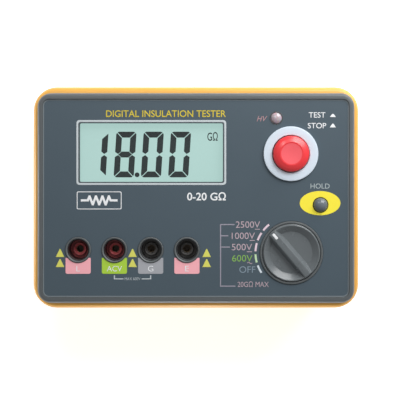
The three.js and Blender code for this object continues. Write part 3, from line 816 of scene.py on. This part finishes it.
def build_display():
    piece("window_lens", slab_like("display_window", 1.5, 0.2), "window_clear", "display_window")
    piece("lcd_glass", slab_like("lcd_panel", 0.5, 0.15), "lcd_glass", "lcd_panel")
    build_reading(top_of("lcd_panel"))
    build_display_print()
    build_symbol_plate()


def build_reading(glass_top):
    """The reading 18.00 and its unit, on the glass."""
    base_y = DISPLAY[1] - 15.4
    first = DISPLAY[0] - 6.8 - DIGIT_PITCH
    shapes = digit_segments()
    outlines = [moved(outline, (first - 8.6, 0)) for outline in digit_one()]
    for place, lit in enumerate(["abcdefg", "abcdef", "abcdef"]):
        left = first + place * DIGIT_PITCH
        outlines += [moved(shapes[letter], (left, 0)) for letter in lit]
    shown = [[(x + y * SLANT, y + base_y) for x, y in outline] for outline in outlines]
    shown.append(circle(1.5, (first + DIGIT_PITCH - 2.3, base_y + 1.6), 24))
    piece("lcd_digits", flat(shown, glass_top, glass_top + PRINT), "lcd_segment")
    unit = beside(DISPLAY, 34.7, 7.4, 41.2, 12.9)
    lettering("lcd_unit", "GΩ", unit, "lcd_segment", weight=0.1, height=glass_top)


def build_display_print():
    """The lines round the window, the title over it and the measuring range under it."""
    outer = rounded(92.6, 40.1, 1.9, DISPLAY)
    line = rounded(90.2, 37.7, 1.2, DISPLAY)
    print_on_film("display_line", [outer, line], "ink_line")
    print_on_film("display_border", [line, rounded(*WINDOW, DISPLAY)], "ink_frame")
    title = beside(DISPLAY, -28.0, 21.9, 46.1, 26.1)
    lettering("title", "DIGITAL INSULATION TESTER", title, "ink_title", weight=0.1)
    lettering("range_words", "0-20 GΩ", beside(DISPLAY, 22.1, -29.7, 46.1, -24.5), "mark_white", weight=0.2)


def build_symbol_plate():
    """An outlined plate with a resistor symbol, printed below the display's left end."""
    centre = (DISPLAY[0] - 32.2, DISPLAY[1] - 29.6)
    frame_lines = [rounded(27.7, 11.1, 0.9, centre), rounded(26.7, 10.1, 0.6, centre)]
    print_on_film("plate_outline", frame_lines, "mark_white")
    zigzag = [(-11, 0), (-7, 0)]
    zigzag += [(-6 + 2 * k, 2.6 * (-1) ** k) for k in range(7)]
    zigzag += [(7, 0), (11, 0)]
    half, overlap = 0.7, 0.4
    parts = []
    for start, end in zip(map(Vector, zigzag), map(Vector, zigzag[1:])):
        along = (end - start).normalized() * overlap
        across = along.orthogonal() * half / overlap
        start, end = start - along, end + along
        stroke = [start - across, end - across, end + across, start + across]
        parts.append(prism(moved(stroke, centre), FACE, FACE + PRINT))
    piece("plate_symbol", joined(*parts), "mark_white")


# ---- sockets and lamp ----

# The ink of each socket's tab, its letters and their width
TABS = [
    ("ink_pink", "L", 2.2),
    ("ink_green", "ACV", 9.4),
    ("ink_tab_grey", "G", 3.4),
    ("ink_pink", "E", 2.3),
]


def build_sockets():
    for i, (role, place) in enumerate(zip(ROLES, SOCKETS)):
        colour = "red" if i < 2 else "black"
        base = bottom_of(f"socket_sleeve_{role}")
        pin_top = top_of(f"socket_contact_{role}")
        mouth = pin_top + 2.3
        tube = lathe([
            (2.85, base), (5.9, base), (5.9, 60.9), (4.15, 60.9, 0.3), (4.1, mouth, 0.5),
            (3.4, mouth - 0.1, 0.2), (2.3, mouth - 1.2, 0.2), (2.3, pin_top + 0.1), (2.85, pin_top + 0.1),
        ], place)
        # The tube's material is painted lighter, as light down in the well.
        piece(f"socket_tube_{role}", tube, f"socket_{colour}", f"socket_sleeve_{role}")
        painted_well = lathe([
            (6.0, base), (7.6, base), (7.6, 60.3), (6.55, 60.3), (6.55, 70.9, 0.2), (6.0, 70.6, 0.2),
        ], place)
        # The lining's material is painted: dark shade for the red wells, lighter for the black ones.
        piece(f"socket_liner_{role}", painted_well, f"liner_{colour}")
        build_pin(role, place, pin_top)
        build_tab(role, place, *TABS[i])
    build_voltage_limit()
    build_cautions()


def build_pin(role, place, top):
    """A turned contact whose bore is tarnished dark, out of reach of polishing."""
    low = bottom_of(f"socket_contact_{role}")
    radius, bore = 2.7, 2.0
    contact = lathe([
        (0, low), (radius, low, 0.4), (radius, top, 0.25), (bore, top, 0.2), (bore, top - 2),
        (bore, low + 1.5), (0, low + 1.2),
    ], place, 40)
    pin = piece(f"socket_pin_{role}", contact, "brass", f"socket_contact_{role}")
    pin.data.materials.append(M["tarnish"])
    for face in pin.data.polygons:
        x, y, z = face.center / MM
        if hypot(x - place[0], y - place[1]) < bore + 0.1 and low + 0.5 < z < top - 1.9:
            face.material_index = 1


def build_tab(role, place, colour, words, width):
    """The coloured tab under a socket, hollowed where the collar stands, and its letter."""
    half, top, bottom, corner = 7.8, -4.9, -14.8, 1.2
    hollow = COLLAR_RADIUS + 0.2
    start = asin(top / hollow)
    outline = arc(hollow, pi - start, FULL_TURN + start, steps=24)
    outline += [(half, top)]
    outline += arc(corner, 0, -pi / 2, (half - corner, bottom + corner), 5)
    outline += arc(corner, -pi / 2, -pi, (corner - half, bottom + corner), 5)
    outline += [(-half, top)]
    print_on_film(f"tab_{role}", [moved(outline, place)], colour)
    box = beside(place, -width / 2, -13.3, width / 2, -9.9)
    lettering(f"tab_letter_{role}", words, box, "mark_white", height=FACE + PRINT)


def build_voltage_limit():
    """The limit for the two middle sockets, with an angled line that leads to it from each."""
    low, high, reach, half = -18.2, -15.7, 5.6, 0.35
    inner = low + 0.6
    arm = [(-half, high), (-half, low), (reach, low), (reach, inner), (half, inner), (half, high)]
    for name, place, side in (("left", SOCKETS[1], 1), ("right", SOCKETS[2], -1)):
        outline = moved([(x * side, y) for x, y in arm], place)
        print_on_film(f"voltage_limit_{name}", [outline], "ink_line")
    midway = ((SOCKETS[1][0] + SOCKETS[2][0]) / 2, SOCKETS[1][1])
    lettering("voltage_limit", "MAX 600V", beside(midway, -4.9, -18.7, 4.9, -17.0), "ink_line")


def build_cautions():
    """Plain yellow triangles in pairs, left and right of the sockets and between the middle two."""
    pitch = SOCKETS[1][0] - SOCKETS[0][0]
    columns = (SOCKETS[0][0] - pitch / 2, (SOCKETS[1][0] + SOCKETS[2][0]) / 2, SOCKETS[3][0] + pitch * 0.545)
    triangle = [(-2.65, 0), (2.65, 0), (0.25, 5.0), (-0.25, 5.0)]
    for column, x in enumerate(columns, 1):
        for row, drop in enumerate((4.4, 10.6), 1):
            place = (x, SOCKETS[0][1] - drop)
            print_on_film(f"caution_{column}_{row}", [moved(triangle, place)], "ink_triangle")


def build_lamp():
    low, high = span("voltage_lamp")
    radius, flange = 3.6, 4.4
    profile = [(0, low[2]), (3, low[2]), (3, 63), (flange, 63), (flange, 64.2), (radius, 64.2)]
    profile += dome(radius, high[2] - 2.7, high[2], 12)
    piece("lamp_lens", lathe(profile, LAMP, 48), "lamp_lens", "voltage_lamp")
    bezel = lathe([(3.7, FACE), (4.15, FACE), (4.1, FACE + 0.25, 0.08), (3.7, FACE + 0.25, 0.08)], LAMP, 48)
    piece("lamp_bezel", bezel, "case_grey")
    lettering("lamp_word", "HV", beside(LAMP, -12.2, -2.1, -5.6, 1.2), "ink_hv", weight=0.1, slant=0.35)


# ---- buttons ----


def build_test_button():
    low, high = span("test_button_ring")
    bore, neck, outer = 11.6, 13.4, (high[0] - low[0]) / 2
    ring = lathe([
        (bore, low[2]), (neck, low[2]), (neck, FACE + 0.05), (outer, FACE + 0.05), (outer, high[2], 0.5),
        (bore, high[2], 0.35),
    ], TEST, 96)
    piece("test_ring", ring, "ring_pale", "test_button_ring")
    build_test_cap()
    build_test_spring()
    lettering("test_word", "TEST", beside(TEST, 11.1, 22.3, 21.4, 25.7), "mark_white", weight=0.08)
    lettering("stop_word", "STOP", beside(TEST, 10.5, 15.7, 21.9, 19.1), "mark_white", weight=0.08)
    flat_top = [(-1.9, 22.7), (1.9, 22.7), (0.7, 24.4), (0.3, 24.7), (-0.3, 24.7), (-0.7, 24.4)]
    pointed = [(-1.9, 16.3), (1.9, 16.3), (0.6, 18.3), (0.0, 18.8), (-0.6, 18.3)]
    for name, outline in (("test_mark", flat_top), ("stop_mark", pointed)):
        print_on_film(name, [moved(outline, (TEST[0] + 26, TEST[1]))], "mark_white")


def build_test_cap():
    """A hollow cap with a shallow dish in its top, whose floor is painted a paler red: a painted highlight
    where the flat floor faces the light.
    """
    low, high = span("test_button_cap")
    wall, radius, top = 9.4, (high[0] - low[0]) / 2, high[2]
    cap = lathe([
        (wall, low[2]), (radius, low[2], 0.3), (radius, top - 1.9, 1.2), (9.2, top - 0.75, 0.8),
        (7.2, top, 0.35), (6.4, top - 0.12, 0.3), (3, top - 0.42), (0, top - 0.5), (0, top - 2.4),
        (wall, top - 2.4),
    ], TEST, 96)
    made = piece("test_cap", cap, "button_red", "test_button_cap", "test_button")
    # The dish floor gets the paler red: a painted highlight.
    made.data.materials.append(M["button_face_painted_highlight"])
    for face in made.data.polygons:
        x, y, z = face.center / MM
        if hypot(x - TEST[0], y - TEST[1]) < 6.6 and z > top - 1:
            face.material_index = 1


def build_test_spring():
    """The return spring: six turns of round wire, a little uneven in pitch."""
    low, high = span("test_spring")
    length = high[2] - low[2]
    wire = 0.45
    radius = (high[0] - low[0]) / 2 - wire
    turns, per_turn = 6, 28
    path = []
    for k in range(turns * per_turn + 1):
        t = k / (turns * per_turn)
        z = low[2] + wire + (length - 2 * wire) * (t + 0.03 * sin(2 * FULL_TURN * t))
        angle = FULL_TURN * turns * t
        path.append(Vector((TEST[0] + radius * cos(angle), TEST[1] + radius * sin(angle), z)))
    spring = piece("test_coil_spring", tube(path, wire), "steel", "test_spring")
    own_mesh(spring)


def tube(path, radius):
    """Round wire along a path of points, closed at both ends."""
    sides = 10
    bm = bmesh.new()
    rings = []
    for i, point in enumerate(path):
        along = (path[min(i + 1, len(path) - 1)] - path[max(i - 1, 0)]).normalized()
        side = along.cross(Vector((0, 0, 1))).normalized()
        up = side.cross(along)
        rings.append([
            bm.verts.new(point + radius * (cos(a) * side + sin(a) * up))
            for a in (FULL_TURN * k / sides for k in range(sides))
        ])
    for lower, upper in zip(rings, rings[1:]):
        skin(bm, lower, upper, sides)
    bm.faces.new(rings[0])
    bm.faces.new(rings[-1])
    return bm


def build_hold_button():
    oval = [(x * 12.6 + HOLD[0] - 0.3, y * 7.5 + HOLD[1] + 1.1) for x, y in circle(1)]
    print_on_film("hold_oval", [oval, circle(4.85, HOLD, 48)], "ink_yellow")
    low, high = span("hold_button_cap")
    radius, flange, stem = 4.4, 6.2, 2.2
    profile = [(0, low[2]), (stem, low[2]), (stem, 66.8), (flange, 66.8), (flange, 68.2), (radius, 68.2)]
    cap = lathe(profile + dome(radius, 71.4, high[2], 14), HOLD, 56)
    piece("hold_cap", cap, "hold_grey", "hold_button_cap", "hold_button")
    lettering("hold_word", "HOLD", beside(HOLD, -6.2, 10.1, 5.6, 13.2), "ink_hold")


# ---- range selector ----

# Each range's words, their right edge from the knob's centre and their width, and their inks
RANGES = [
    ("2500V", -19.4, 15.0, "ink_range", "ink_tick"),
    ("1000V", -22.6, 14.3, "ink_range", "ink_tick"),
    ("500V", -24.3, 12.6, "ink_range", "ink_tick"),
    ("600V", -24.1, 12.6, "ink_range_ac", "ink_tick_ac"),
    ("OFF", -22.3, 9.9, "ink_off", "ink_tick_off"),
]
ROW_TOP, ROW_STEP, LETTER = 17.45, 6.95, 4.0
MARK = (14.5, 0)  # place of the white mark, before the finger bar is leaned
GRIP_OFFSET = 1.1  # how far the finger bar lies to one side of the knob's centre
GRIP_LEAN = radians(-4.3)


def grip_outline(width, reach):
    """A bar as wide as width whose ends follow a circle of radius reach."""
    half = asin(width / 2 / reach)
    return arc(reach, -half, half, steps=6) + arc(reach, pi - half, pi + half, steps=6)


def lean(bm):
    """Sets the finger bar a little to one side and askew, so that only its mark lies on the radius."""
    return turned(shifted(bm, (0, GRIP_OFFSET, 0)), GRIP_LEAN)


def on_selector(bm):
    """Turns a body made round the origin towards the highest range and puts it at the selector."""
    return shifted(turned(bm, POINTER_ANGLE), (*SELECTOR, 0))


def build_knob():
    top = top_of("selector_knob")
    rim = top - 1.4
    dish = lathe([
        (0, 67.2), (15, 67.2), (15.6, 65.4), (17.25, 65.4, 0.3), (17.85, 71.2, 0.2), (17.85, 72.0, 0.2),
        (17.45, 72.1), (17.4, rim - 0.1, 0.3), (16.8, rim, 0.3), (13.0, 70.5, 0.6), (0, 70.4),
    ], segments=96)
    levels = [(8.6, 70), (7.6, 70.7), (5.0, 73.5), (4.3, top - 0.4), (3.9, top - 0.12), (3.3, top)]
    grip = loft([(grip_outline(width, 16.9 if z > top - 0.3 else 17.1), z) for width, z in levels])
    hub = lathe([(0, 60.2), (4.2, 60.2), (4.2, 68), (0, 68)], segments=6)
    slot = slab(4.25, 1.75, 0.3, top - 0.7, top + 1, MARK, 0.05)
    knob = on_selector(cut(joined(dish, lean(grip), hub), lean(slot)))
    piece("range_knob", knob, "knob_grey", "selector_knob", "range_selector")
    mark = on_selector(lean(slab(4.15, 1.65, 0.35, top - 0.65, top + 0.03, MARK, 0.12)))
    piece("range_pointer", mark, "mark_white", "selector_pointer", "range_selector")


def build_selector():
    build_knob()
    half = radians(6.6)
    for i, (words, right, width, colour, tick) in enumerate(RANGES):
        row = ROW_TOP - ROW_STEP * i
        name = words.lower()
        box = beside(SELECTOR, right - width, row - LETTER / 2, right, row + LETTER / 2)
        lettering(f"range_{name}", words, box, colour)
        angle = POINTER_ANGLE + SELECTOR_STEP * i
        dash = arc(22.85, angle - half, angle + half) + arc(21.6, angle + half, angle - half)
        print_on_film(f"tick_{name}", [moved(dash, SELECTOR)], tick)
        if words != "OFF":
            under = beside(SELECTOR, right - 3.2, row - 3.1, right - 0.1, row - 2.65)
            print_on_film(f"kind_{name}", [current_mark(under, wavy=tick == "ink_tick_ac")], "ink_range")
    build_bracket()


def current_mark(box, wavy):
    """A short bar under a range for direct voltage, or a wave for alternating voltage."""
    steps = 12 if wavy else 1
    xs = [box[0] + (box[2] - box[0]) * k / steps for k in range(steps + 1)]
    wave = [0.45 * sin(FULL_TURN * k / steps) for k in range(steps + 1)]
    lower = [(x, box[1] + w) for x, w in zip(xs, wave)]
    upper = [(x, box[3] + w) for x, w in zip(xs, wave)]
    return lower + upper[::-1]


def build_bracket():
    """The line that ties the three insulation ranges to their common limit."""
    spine, half, end = -43.8, 0.35, -34.6
    bottom = -20.6
    outline = [(spine - half, ROW_TOP + half), (spine - half, bottom - half), (end, bottom - half)]
    outline += [(end, bottom + half), (spine + half, bottom + half)]
    for row, reach in ((2, -38.0), (1, -39.0), (0, -35.1)):
        y = ROW_TOP - ROW_STEP * row
        outline += [(spine + half, y - half), (reach, y - half), (reach, y + half)]
        if row:
            outline += [(spine + half, y + half)]
    print_on_film("range_bracket", [moved(outline, SELECTOR)], "ink_bracket")
    lettering("range_limit", "20GΩ MAX", beside(SELECTOR, -33.3, -21.1, -14.0, -17.7), "ink_range")


# ---- underside ----


def build_feet():
    for i in range(1, 5):
        low, high = span(f"foot_{i}")
        radius, base = (high[0] - low[0]) / 2, low[2]
        foot = lathe([
            (0, base + 0.35), (3.6, base + 0.35, 0.3), (4.0, base, 0.2), (5.3, base, 0.5),
            (radius, 1.6, 0.4), (radius, high[2], 0.2), (0, high[2]),
        ], middle(f"foot_{i}"), 56)
        piece(f"rubber_foot_{i}", foot, "foot_rubber", f"foot_{i}")


def screw_body(node_name, head_radius, head_height, shank_radius):
    """A pan-head screw that points up, with a cross recess in its head."""
    low, high = span(node_name)
    place = middle(node_name)
    seat = low[2] + head_height
    body = lathe([
        (0, low[2]), (head_radius * 0.6, low[2] + 0.05), (head_radius, seat - head_height * 0.35, 0.3),
        (head_radius, seat), (shank_radius, seat), (shank_radius, high[2] - 1), (0, high[2]),
    ], place, 40)
    reach, slit = head_radius * 1.15, 0.75
    recess = [
        slab(length, width, 0.2, low[2] - 1, low[2] + head_height * 0.55, place, 0.1)
        for length, width in ((reach, slit), (slit, reach))
    ]
    return cut(body, *recess)


def build_screws():
    for i in range(1, 5):
        screw = screw_body(f"case_screw_{i}", 2.9, 2.2, 1.5)
        piece(f"corner_screw_{i}", screw, "steel", f"case_screw_{i}")
    for i in (1, 2):
        screw = screw_body(f"cover_screw_{i}", 2.6, 1.3, 1.2)
        piece(f"door_screw_{i}", screw, "steel", f"cover_screw_{i}", "battery_door")


def build_battery_cover():
    """A flat cover with two sunk screw holes, a ribbed finger dip and an arrow sunk beside it."""
    low, high = bottom_of("battery_cover"), top_of("battery_cover")
    dip = 7 - size_of("battery_cover")[1] / 2
    tools = []
    for i in (1, 2):
        place = middle(f"cover_screw_{i}")
        tools.append(lathe([(0, low - 1), (3.1, low - 1), (2.9, low + 1.5), (0, low + 1.5)], place, 40))
        tools.append(lathe([(0, low), (1.5, low), (1.5, high + 1), (0, high + 1)], place, 24))
    tools.append(slab(18, 9.6, 4.5, low - 2, low + 0.9, (0, dip), 0.4))
    ribs = [slab(11, 1.1, 0.5, low + 0.15, low + 1.3, (0, dip + y), 0.3) for y in (-2.4, 0, 2.4)]
    door = joined(cut(slab_like("battery_cover", 3, 0.45), *tools), *ribs)
    arrow = flat([[(-3, dip + 8), (3, dip + 8), (0, dip + 11.5)]], low - 0.13, low + 0.25)
    piece("battery_door_panel", cut(door, arrow), "case_orange", "battery_cover", "battery_door")


def build_cells():
    """Six AA cells in a printed jacket, with bare steel at both ends."""
    for i in range(1, 7):
        node_name = f"cell_{i}"
        low, high = span(node_name)
        half, radius = (high[0] - low[0]) / 2, (high[1] - low[1]) / 2
        body = lathe([
            (0, -half), (5.8, -half), (6.2, -half), (radius, -half, 0.4), (radius, half - 1.4, 0.5),
            (6.0, half - 1.3, 0.3), (5.2, half - 1.6, 0.2), (2.7, half - 1.4, 0.1), (2.7, half, 0.4),
            (0, half),
        ], segments=48)
        positive = 1 if i in (3, 4) else -1  # which way the cell's positive end points along X
        centre = Vector(low).lerp(Vector(high), 0.5)
        body = shifted(turned(body, positive * pi / 2, "Y"), centre)
        made = piece(f"aa_{node_name}", body, "cell_jacket", node_name)
        made.data.materials.append(M["steel"])
        for face in made.data.polygons:
            along, *across = face.center / MM - centre
            if hypot(*across) < radius - 0.75 and abs(along) > half - 3:
                face.material_index = 1


# ---- carried-over CAD nodes ----

FINISHES = {
    "black_plastic": [
        "lcd_frame", "test_plunger", "test_switch_housing", "hold_switch", "selector_rotor", "fuse_holder",
    ],
    "elastomer": ["lcd_connector_upper", "lcd_connector_lower"],
    "circuit_board": ["main_board", "converter_board"],
    "ferrite": ["transformer_core"],
    "copper": ["transformer_coil", "selector_wiper"],
    "capacitor_film": ["storage_capacitor"],
    "window_clear": ["fuse"],
    "steel": ["board_screw_1", "board_screw_2"],
    "wire_red": ["battery_lead_red"],
    "wire_black": ["battery_lead_black"],
    "nickel": [f"battery_contact_{end}" for end in ("positive", "link_left", "link_right", "negative")],
}


def dress_cad_nodes():
    for finish, names in FINISHES.items():
        for name in names:
            for slot in frame["nodes"][name].material_slots:
                slot.material = M[finish]


# ---- stage ----


def build_floor():
    bm = bmesh.new()
    bmesh.ops.create_grid(bm, x_segments=1, y_segments=1, size=4000)
    mesh = bpy.data.meshes.new("floor")
    bm.to_mesh(mesh)
    bm.free()
    mesh.transform(Matrix.Scale(MM, 4))
    tree, where = blank("floor_pale")
    finish_surface(tree, {
        "Base Color": tinted(tree, linear(235, 236, 238), noise(tree, where, 90, 3), 0.01),
        "Roughness": 0.9,
        "Emission Color": linear(250, 250, 250),
        "Emission Strength": 0.68,
    })
    mesh.materials.append(M["floor_pale"])
    floor = bpy.data.objects.new("floor", mesh)
    bpy.context.collection.objects.link(floor)


def area_light(name, place, aim_z, size, energy):
    """A square light that the camera doesn't see, aimed at the tester's axis at a height."""
    light = bpy.data.lights.new(name, "AREA")
    light.size = size * MM
    light.energy = energy
    holder = bpy.data.objects.new(name, light)
    holder.visible_camera = False
    holder.location = Vector(place) * MM
    holder.rotation_euler = (Vector((0, 0, aim_z)) - Vector(place)).to_track_quat("-Z", "Y").to_euler()
    bpy.context.collection.objects.link(holder)


def build_lights():
    world = bpy.data.worlds.new("studio")
    bpy.context.scene.world = world
    world.use_nodes = True
    tree = world.node_tree
    background = tree.nodes["Background"]
    background.inputs["Color"].default_value = (1, 1, 1, 1)
    seen = node(tree, "LightPath").outputs["Is Camera Ray"]
    tree.links.new(spread(tree, seen, 0.27, 0.9), background.inputs["Strength"])
    area_light("key", (380, 500, 400), 60, 500, 5.0)
    area_light("key_high", (240, 430, 560), 60, 260, 0.9)
    area_light("spark", (-150, 380, 640), 60, 130, 0.7)
    area_light("low_left", (-500, 0, 40), 40, 60, 0.8)
    area_light("low_front", (0, -450, 40), 40, 60, 0.8)


def build_camera():
    """Straight above the face, as the tester is looked at, with the picture shifted to frame it."""
    reach = 550  # from the film to the lens
    seen_width = 247.2  # width of the picture at the film
    eye = (0, 16)
    aim = (2.5, -1.15)
    data = bpy.data.cameras.new("camera")
    data.sensor_width = 36
    data.lens = data.sensor_width * reach / seen_width
    data.shift_x = (aim[0] - eye[0]) / seen_width
    data.shift_y = (aim[1] - eye[1]) / seen_width
    camera = bpy.data.objects.new("camera", data)
    camera.location = (eye[0] * MM, eye[1] * MM, (FACE + reach) * MM)
    bpy.context.collection.objects.link(camera)
    bpy.context.scene.camera = camera
    bpy.context.scene.view_settings.view_transform = "Standard"


for build in (
    build_materials, build_rear_shell, build_front_shell, build_film, build_display, build_sockets,
    build_lamp, build_test_button, build_hold_button, build_selector, build_feet, build_screws,
    build_battery_cover, build_cells, dress_cad_nodes, build_floor, build_lights, build_camera,
):
    build()
